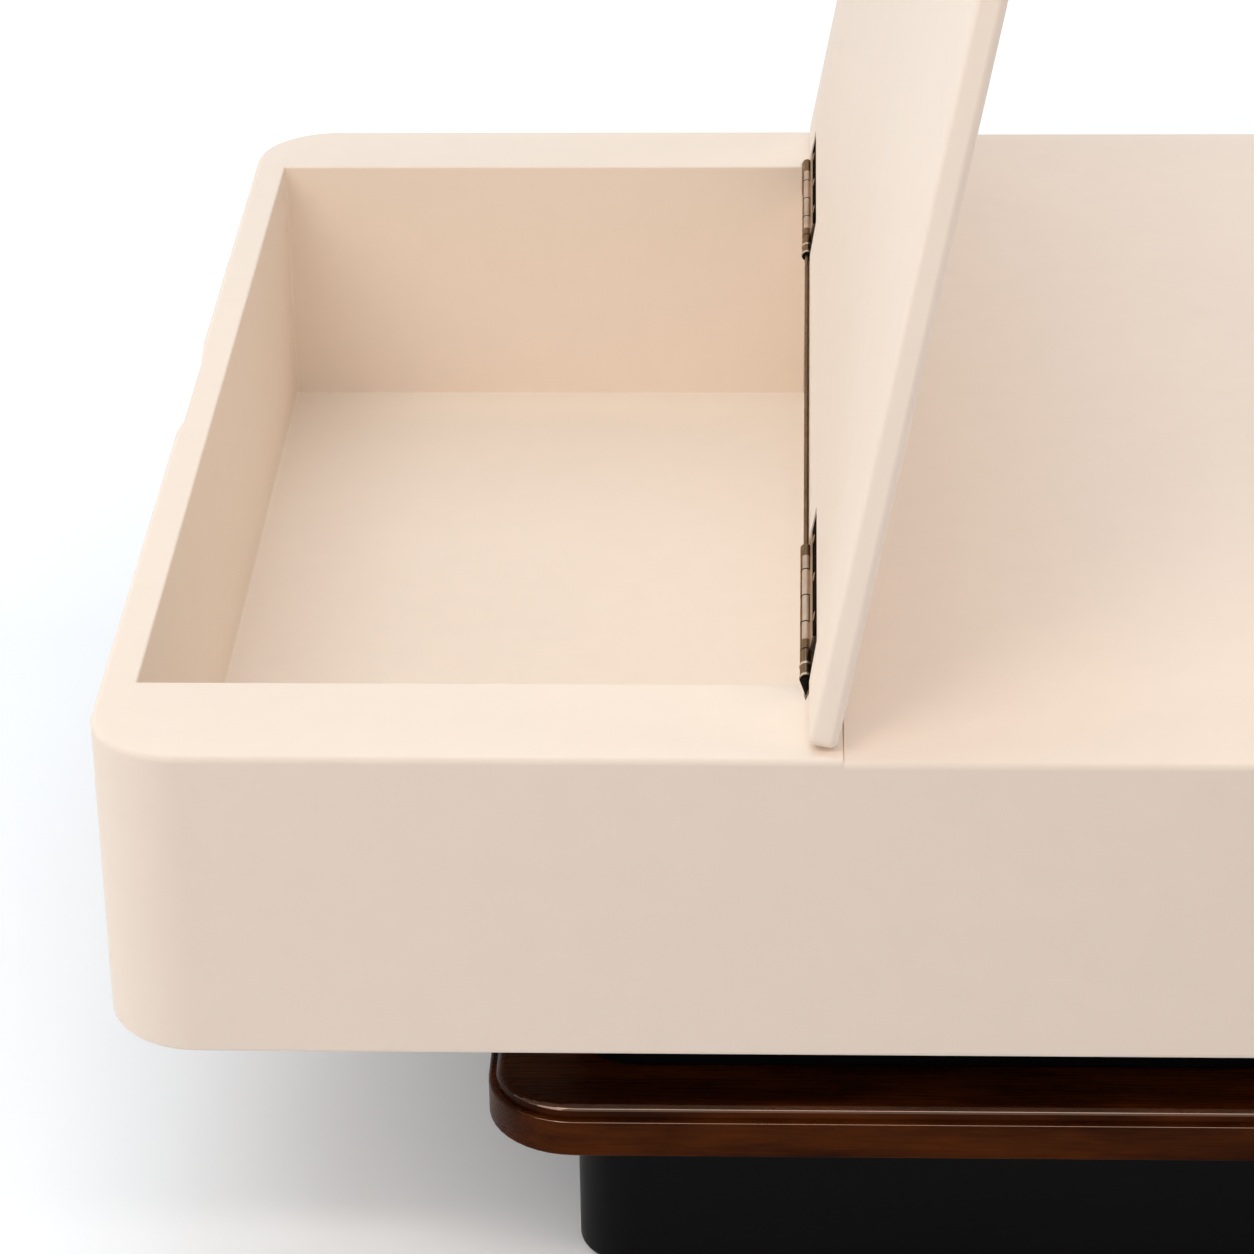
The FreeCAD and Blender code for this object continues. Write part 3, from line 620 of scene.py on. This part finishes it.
# %% Hinge leaves
KNUCKLES, KNUCKLE_PLAY = 5, 0.2 * MM
LEAF_WIDTH, LEAF_THICK, LEAF_GAP = 22.0 * MM, 1.5 * MM, 3.1 * MM
LEAF_SINK, LEAF_BEND = 0.8 * MM, 9.0 * MM
TAB_ROOT, TAB_STEP, TAB_CORNER = 1.7 * MM, 0.02 * MM, 0.1 * MM
RING_STARTS = (1.1 * MM, 12.1 * MM)
FRONT_BROWN, BACK_BROWN = 36.0 * MM, 12.5 * MM
SHADED_WELL_SIDE = -0.62 * KNUCKLE
CRISP_ANGLE = 30


def knuckle_tint(centre, start, end, changes, place):
    """Black at knuckle ends; brown at the hinge's ends, and as painted shade towards the well; else bright.
    """
    if centre.y < start + CORNER or centre.y > end - CORNER:
        return BLACK_JOINT_AND_SHADE
    across = (place.to_3x3() @ Vector((centre.x, 0.0, centre.z))).x
    # The side towards the well is brown: painted shade.
    if across < SHADED_WELL_SIDE or not changes[0] < centre.y < changes[1]:
        return BROWN_AND_SHADE
    return BRIGHT


def leaf_mesh(node, on_lid):
    """One leaf of a hinge: knuckles, tabs and plate, in its place on the lid or the partition."""
    low, high = (corner.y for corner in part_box(node.replace("lid_leaf", "fixed_leaf")))
    pitch = (high - low) / KNUCKLES
    changes = (low + FRONT_BROWN, high - BACK_BROWN)
    place = AT_LID if on_lid else AT_HINGE
    under, outer = KNUCKLE - LEAF_THICK, LEAF_THICK - LEAF_SINK
    work = bmesh.new()
    for number in range(1 if on_lid else 0, KNUCKLES, 2):
        start = low + number * pitch + KNUCKLE_PLAY
        end = low + (number + 1) * pitch - KNUCKLE_PLAY
        for face in turned(work, knuckle(start, end, changes)):
            face.material_index = knuckle_tint(face.calc_center_median(), start, end, changes, place)
        if on_lid:
            plate(work, (-LEAF_GAP - MM, start, under), (-MM, end, KNUCKLE - TAB_STEP), TAB_CORNER)
        else:
            plate(work, (-LEAF_SINK, start, -LEAF_GAP - MM), (outer, end, -TAB_ROOT), TAB_CORNER)
    if on_lid:
        plate(work, (-LEAF_BEND, low + pitch, under), (-LEAF_GAP, high, KNUCKLE))
        # Outside its bend the lid's leaf is near-black: painted shade beside the barrel.
        plate(work, (-LEAF_WIDTH, low + pitch, under), (-LEAF_BEND, high, KNUCKLE), tint=BLACK_JOINT_AND_SHADE)
    else:
        plate(work, (-LEAF_SINK, low, -LEAF_WIDTH), (outer, high, -LEAF_GAP))
        for shift in RING_STARTS:
            turned(work, raised_ring(low + shift))
    bmesh.ops.recalc_face_normals(work, faces=work.faces)
    bmesh.ops.transform(work, matrix=place, verts=work.verts)
    return shaded(work, node, CRISP_ANGLE)


for hinge in HINGES:
    for kind, body in (("lid_leaf", "lid"), ("fixed_leaf", "table")):
        node = f"{hinge}_{kind}"
        mesh = leaf_mesh(node, body == "lid")
        new_piece(f"{node}_rolled", mesh, body, "aged_nickel", [node], *PLATED)

# %% [markdown]
# The lid has a recess for each leaf, and the board in it is coloured nearly black, which is painted shade.
# The recess is found in the lid's own frame: its floor and walls are the faces that lie between the lid's
# underside and the back of the leaf, close to the hinge line. Only the end wall at the back keeps the
# cream.

# %% Lid
LID_UNDER = 0.6 * MM
RECESS_WIDTH = LEAF_WIDTH + MM
RECESS_RUN_OUT = 13.0 * MM
MARGIN = 0.1 * MM
to_lid = AT_LID.inverted()
hinge_spans = [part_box(f"{hinge}_fixed_leaf") for hinge in HINGES]
lid_work = editable("lid_panel")
for face in lid_work.faces:
    spot = to_lid @ face.calc_center_median()
    beside = any(low.y - RECESS_RUN_OUT < spot.y < high.y - MM for low, high in hinge_spans)
    inside = LID_UNDER + MARGIN < spot.z < KNUCKLE + MARGIN and spot.x > -RECESS_WIDTH
    # Faces in a recess get the near-black board, which is painted shade.
    face.material_index = 1 if beside and inside else 0
print(sum(face.material_index for face in lid_work.faces), "faces in the recesses")
lid_mesh = shaded(lid_work, "lid_painted")
new_piece("lid_painted", lid_mesh, "lid", "cream_lacquer", ["lid_panel"], cream, recess_painted_shade_board)

# %% [markdown]
# One rod runs through both hinges, lying bare between them; its brown is painted shade of the groove that
# it lies in. It is turned from a single outline, from the pointed tip at the front, near-black as painted
# shade in its notch, to the round head at the back.

# %% Hinge rod
rod_low, rod_high = (corner.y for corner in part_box("hinge_rod"))
ROD = 1.25 * MM
NOSE, NOSE_LENGTH, NOSE_ROOT = 0.25 * MM, 0.3 * MM, 0.45 * MM
TIP_LENGTH, TIP_ROOT, TIP_CORNER, TIP_FALL = 12.0 * MM, 2.5 * MM, 0.4 * MM, 0.05 * MM
HEAD_LENGTH, HEAD_FLAT, HEAD_STEPS = 7.0 * MM, 0.05 * MM, 8
tip_end = rod_low + TIP_LENGTH
head_start = rod_high - HEAD_LENGTH
head_middle = rod_high - KNUCKLE
head_turns = [math.pi / 2 * step / HEAD_STEPS for step in range(1, HEAD_STEPS + 1)]
rod_outline = [
    (rod_low, NOSE),
    (rod_low + NOSE_LENGTH, NOSE_ROOT),
    (tip_end - TIP_CORNER, TIP_ROOT - TIP_FALL),
    (tip_end, TIP_ROOT - TIP_CORNER),
    (tip_end, ROD),
    (head_start, ROD),
    (head_start, KNUCKLE - CORNER),
    (head_start + CORNER, KNUCKLE),
    (head_middle, KNUCKLE),
]
for turn in head_turns:
    rod_outline.append((head_middle + KNUCKLE * math.sin(turn), max(KNUCKLE * math.cos(turn), HEAD_FLAT)))
rod_work = bmesh.new()
# The tip is near-black, painted shade in its notch; the rest of the rod is brown, painted shade of its
# groove.
for face in turned(rod_work, rod_outline, closed=False):
    face.material_index = BLACK_JOINT_AND_SHADE if face.calc_center_median().y < tip_end + MM else BROWN_AND_SHADE
bmesh.ops.recalc_face_normals(rod_work, faces=rod_work.faces)
bmesh.ops.transform(rod_work, matrix=AT_HINGE, verts=rod_work.verts)
rod_mesh = shaded(rod_work, "hinge_rod_turned", CRISP_ANGLE)
new_piece("hinge_rod_turned", rod_mesh, "table", "aged_nickel", ["hinge_rod"], *PLATED)

# %% [markdown]
# Twelve equal screws hold the leaves. What repeats is work for Geometry Nodes: one screw is built from a
# cone for the head, a low cone for its oval top and a tapered shank, a cross is cut for the driver, and
# the screw is set on every point of a small cloud with its own turn from a fixed seed.

# %% A tree of nodes for the screws
HEAD_SIDES, SHANK_SIDES, SHANK_POINT = 32, 24, 0.3 * MM


def screw_tree():
    """A countersunk screw with a cross, set on every point of what the tree is given."""
    tree = bpy.data.node_groups.new("countersunk_screws", "GeometryNodeTree")
    ends = tree.interface
    ends.new_socket("Geometry", in_out="OUTPUT", socket_type="NodeSocketGeometry")
    ends.new_socket("Geometry", in_out="INPUT", socket_type="NodeSocketGeometry")
    for name in ("Head Radius", "Head Depth", "Crown", "Shank Radius", "Shank Length"):
        ends.new_socket(name, in_out="INPUT", socket_type="NodeSocketFloat")
    for name in ("Slot Along", "Slot Across"):
        ends.new_socket(name, in_out="INPUT", socket_type="NodeSocketVector")
    ends.new_socket("Seed", in_out="INPUT", socket_type="NodeSocketInt")
    ends.new_socket("Finish", in_out="INPUT", socket_type="NodeSocketMaterial")
    given = tree.nodes.new("NodeGroupInput").outputs

    def cone(sides, bottom, top, depth):
        """A cone that stands on Z = 0, with its two radii and its height."""
        sizes = {"Vertices": sides, "Radius Bottom": bottom, "Radius Top": top, "Depth": depth}
        return add(tree, "GeometryNodeMeshCone", sizes).outputs["Mesh"]

    head = cone(HEAD_SIDES, given["Head Radius"], given["Shank Radius"], given["Head Depth"])
    crown = cone(HEAD_SIDES, given["Head Radius"], given["Shank Radius"], given["Crown"])
    turned_over = {"Geometry": crown, "Rotation": (math.pi, 0.0, 0.0)}
    crown = add(tree, "GeometryNodeTransform", turned_over).outputs["Geometry"]
    shank = cone(SHANK_SIDES, given["Shank Radius"], SHANK_POINT, given["Shank Length"])
    whole = add(tree, "GeometryNodeMeshBoolean", operation="UNION", solver="EXACT")
    for part in (head, crown, shank):
        tree.links.new(part, whole.inputs["Mesh 2"])
    drive = add(tree, "GeometryNodeMeshBoolean", {"Mesh 1": whole.outputs["Mesh"]}, solver="EXACT")
    for size in ("Slot Along", "Slot Across"):
        bar = add(tree, "GeometryNodeMeshCube", {"Size": given[size]})
        tree.links.new(bar.outputs["Mesh"], drive.inputs["Mesh 2"])
    twist = add(tree, "FunctionNodeRandomValue", {"Seed": given["Seed"]}, data_type="FLOAT_VECTOR")
    twist.inputs["Min"].default_value = (0.0, 0.0, 0.0)
    twist.inputs["Max"].default_value = (0.0, 0.0, math.pi / 2)
    spots = add(
        tree,
        "GeometryNodeInstanceOnPoints",
        {"Points": given["Geometry"], "Instance": drive.outputs["Mesh"], "Rotation": twist.outputs["Value"]},
    )
    real = add(tree, "GeometryNodeRealizeInstances", {"Geometry": spots.outputs["Instances"]})
    dressed = add(
        tree,
        "GeometryNodeSetMaterial",
        {"Geometry": real.outputs["Geometry"], "Material": given["Finish"]},
    )
    end = tree.nodes.new("NodeGroupOutput")
    tree.links.new(dressed.outputs["Geometry"], end.inputs["Geometry"])
    return tree


SCREWS = screw_tree()
print("a tree of", len(SCREWS.nodes), "nodes for the screws")

# %% [markdown]
# The sizes go in through the tree's named inputs, and the result is turned into a plain mesh, one for each
# body, so that the lid's screws swing with the lid.

# %% Screws
SCREW_SIZES = {
    "Head Radius": 2.25 * MM,
    "Head Depth": 1.4 * MM,
    "Crown": 0.25 * MM,
    "Shank Radius": 1.2 * MM,
    "Shank Length": 9.5 * MM,
    "Slot Along": (2.6 * MM, 0.5 * MM, 1.4 * MM),
    "Slot Across": (0.5 * MM, 2.6 * MM, 1.4 * MM),
    "Seed": 7,
    "Finish": nickel,
}
SCREW_LINE, SCREW_MIDDLE, SCREW_SPREAD = 12.5 * MM, 80.0 * MM, 40.0 * MM


def screw_mesh(name, place):
    """Six screws at the points of both hinges, drawn head down at Z = 0 and carried to their leaf."""
    spots = []
    for hinge in HINGES:
        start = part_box(f"{hinge}_fixed_leaf")[0].y
        spots += [(0.0, start + SCREW_MIDDLE + shift, 0.0) for shift in (-SCREW_SPREAD, 0.0, SCREW_SPREAD)]
    cloud = bpy.data.meshes.new(name + "_spots")
    cloud.from_pydata(spots, [], [])
    holder = bpy.data.objects.new(name + "_spots", cloud)
    bpy.context.scene.collection.objects.link(holder)
    setter = holder.modifiers.new("screws", "NODES")
    setter.node_group = SCREWS
    for item in SCREWS.interface.items_tree:
        if item.in_out == "INPUT" and item.name in SCREW_SIZES:
            setter[item.identifier] = SCREW_SIZES[item.name]
    made = applied(holder)
    holder.modifiers.remove(setter)
    bpy.data.meshes.remove(cloud)
    made.name = name
    made.transform(place)
    made.shade_smooth()
    made.set_sharp_from_angle(angle=math.radians(CRISP_ANGLE))
    return made


QUARTER_TURN = Matrix.Rotation(math.pi / 2, 4, "Y")
on_lid_leaf = AT_LID @ Matrix.Translation((-SCREW_LINE, 0.0, KNUCKLE - LEAF_THICK))
on_wall_leaf = AT_HINGE @ Matrix.Translation((-LEAF_SINK, 0.0, -SCREW_LINE)) @ QUARTER_TURN
lid_screws = screw_mesh("lid_screws", on_lid_leaf)
new_piece("lid_screws", lid_screws, "lid", "aged_nickel", ["lid_hinge_screws"])
wall_screws = screw_mesh("wall_screws", on_wall_leaf)
new_piece("wall_screws", wall_screws, "table", "aged_nickel", ["partition_hinge_screws"])

# %% [markdown]
# A pale studio: one wide floor. It has to look white, as paper does, and still take the table's soft
# shadow. So the camera sees a faint glow on it, which grows with the distance from the table, and nothing
# else does. It grows twice: round the table, to end the shadow, and again far away, where the lamps no
# longer reach.

# %% Floor
FLOOR_REACH = 12.0
GLOW_MIDDLE = (0.0, 0.25, 0.0)
corners = [(x * FLOOR_REACH, y * FLOOR_REACH, 0) for x, y in ((-1, -1), (1, -1), (1, 1), (-1, 1))]
floor_mesh = bpy.data.meshes.new("studio_floor")
floor_mesh.from_pydata(corners, [], [(0, 1, 2, 3)])
floor = bpy.data.objects.new("studio_floor", floor_mesh)
bpy.context.scene.collection.objects.link(floor)
paper, tree, shader, place = new_finish("studio_paper")
shader.inputs["Base Color"].default_value = (0.900, 0.928, 0.960, 1.0)
shader.inputs["Roughness"].default_value = 0.9
shader.inputs["Specular IOR Level"].default_value = 0.0
to_camera = add(tree, "ShaderNodeLightPath").outputs["Is Camera Ray"]
away = add(tree, "ShaderNodeVectorMath", {0: place, 1: GLOW_MIDDLE}, operation="DISTANCE").outputs["Value"]
round_table = spread(tree, away, low=0.075, high=0.50, start=0.7, end=1.7)
far_off = spread(tree, away, low=0.0, high=0.55, start=2.2, end=5.0)
glow = reckon(tree, "MULTIPLY", reckon(tree, "ADD", round_table, far_off), to_camera)
tree.links.new(glow, shader.inputs["Emission Strength"])
shader.inputs["Emission Color"].default_value = (0.90, 0.97, 1.0, 1.0)
floor_mesh.materials.append(paper)
print("floor", 2 * FLOOR_REACH, "metres wide")

# %% [markdown]
# The photo's light is soft and comes from nearly all round: its shadows have no hard edge anywhere, the
# top is the brightest face, and the inside of the lid is lit almost as well as the top. A little even
# light from the air fills what the lamps miss. The air itself looks white to the camera, to mirrors and
# through clear things, and only lights the rest dimly, which the Light Path node tells apart.

# %% Air
world = bpy.data.worlds.new("studio_air")
bpy.context.scene.world = world
world.use_nodes = True
tree = world.node_tree
path = add(tree, "ShaderNodeLightPath").outputs
seen = reckon(tree, "MAXIMUM", path["Is Camera Ray"], path["Is Glossy Ray"])
seen = reckon(tree, "MAXIMUM", seen, path["Is Transmission Ray"])
air = tree.nodes["Background"]
air.inputs["Color"].default_value = (1.0, 0.905, 0.905, 1.0)
air.inputs["Strength"].default_value = 0.217
white = add(tree, "ShaderNodeBackground", {"Color": (1.0, 1.0, 1.0, 1.0), "Strength": 1.0})
mixed = add(tree, "ShaderNodeMixShader", {0: seen, 1: air.outputs[0], 2: white.outputs[0]})
tree.links.new(mixed.outputs[0], tree.nodes["World Output"].inputs["Surface"])
print("air", world.name)

# %% [markdown]
# Wide panels stand for the studio's softboxes. Cream walls warm the light that they pass on, so most
# panels overhead are a little cool, as daylight is. The panels are hidden from the camera. Each row gives
# where a panel stands, what it faces, its size in metres, its power in watts and its tint.

# %% Panels of light
PANELS = {
    "over_left": ((-0.9, 0.0, 2.6), (-0.2, 0.0, 0.3), (1.2, 1.8), 14.8, (0.80, 0.925, 0.975)),
    "over_middle": ((0.0, 0.0, 2.6), (0.0, 0.0, 0.3), (2.4, 2.4), 3.3, (0.60, 0.86, 1.0)),
    "over_front": ((0.0, -1.8, 2.4), (0.0, 0.0, 0.3), (2.8, 0.35), 16.6, (1.0, 0.91, 0.84)),
    "over_back": ((0.0, 1.8, 2.4), (0.0, 0.0, 0.3), (1.8, 1.8), 16.3, (0.92, 0.93, 0.98)),
    "over_right": ((2.0, 0.0, 2.0), (0.2, 0.0, 0.3), (1.4, 1.4), 20.6, (1.0, 0.965, 0.965)),
    "left": ((-2.8, 0.0, 1.0), (0.0, 0.0, 0.3), (1.8, 1.8), 15.6, (0.93, 0.97, 1.0)),
    "right": ((2.8, 0.0, 1.0), (0.0, 0.0, 0.3), (1.8, 1.8), 9.6, (1.0, 0.98, 0.965)),
    "front_left": ((-1.6, -1.8, 2.0), (0.0, 0.0, 0.25), (1.4, 1.4), 21.9, (1.0, 0.91, 0.83)),
    "back_left": ((-2.4, 2.0, 1.6), (0.0, 0.0, 0.25), (1.8, 1.4), 14.5, (0.93, 0.97, 1.0)),
}
for name, (spot, target, size, watts, tint) in PANELS.items():
    lamp = bpy.data.lights.new(name, "AREA")
    lamp.shape = "RECTANGLE"
    lamp.size, lamp.size_y = size
    lamp.energy = watts
    lamp.color = tint
    panel = bpy.data.objects.new(name, lamp)
    panel.location = spot
    panel.rotation_mode = "QUATERNION"
    panel.rotation_quaternion = (Vector(target) - Vector(spot)).to_track_quat("-Z", "Y")
    panel.visible_camera = False
    bpy.context.scene.collection.objects.link(panel)
print(len(PANELS), "panels of light")

# %% [markdown]
# The photograph was taken from the front, well above the table and with a long lens. The numbers come from
# fitting a camera to the straight edges of the rim, the compartment and the lid.

# %% Camera
LENS, SENSOR = 127.97, 36.0
SPOT = Vector((-0.2826, -2.0721, 1.2521))
PITCH, YAW, ROLL = (math.radians(angle) for angle in (27.266, -2.573, 0.985))
forward = Vector((math.sin(YAW) * math.cos(PITCH), math.cos(YAW) * math.cos(PITCH), -math.sin(PITCH)))
level_right = Vector((math.cos(YAW), -math.sin(YAW), 0.0))
level_down = forward.cross(level_right)
right = math.cos(ROLL) * level_right + math.sin(ROLL) * level_down
down = math.cos(ROLL) * level_down - math.sin(ROLL) * level_right
lens = bpy.data.cameras.new("portrait")
lens.lens = LENS
lens.sensor_width = SENSOR
lens.clip_end = 100.0
camera = bpy.data.objects.new("portrait", lens)
axes = Matrix((right, -down, -forward)).transposed()
camera.matrix_world = Matrix.Translation(SPOT) @ axes.to_4x4()
bpy.context.scene.collection.objects.link(camera)
bpy.context.scene.camera = camera
bpy.context.scene.view_settings.view_transform = "Standard"
print("camera at", [round(v, 4) for v in SPOT])
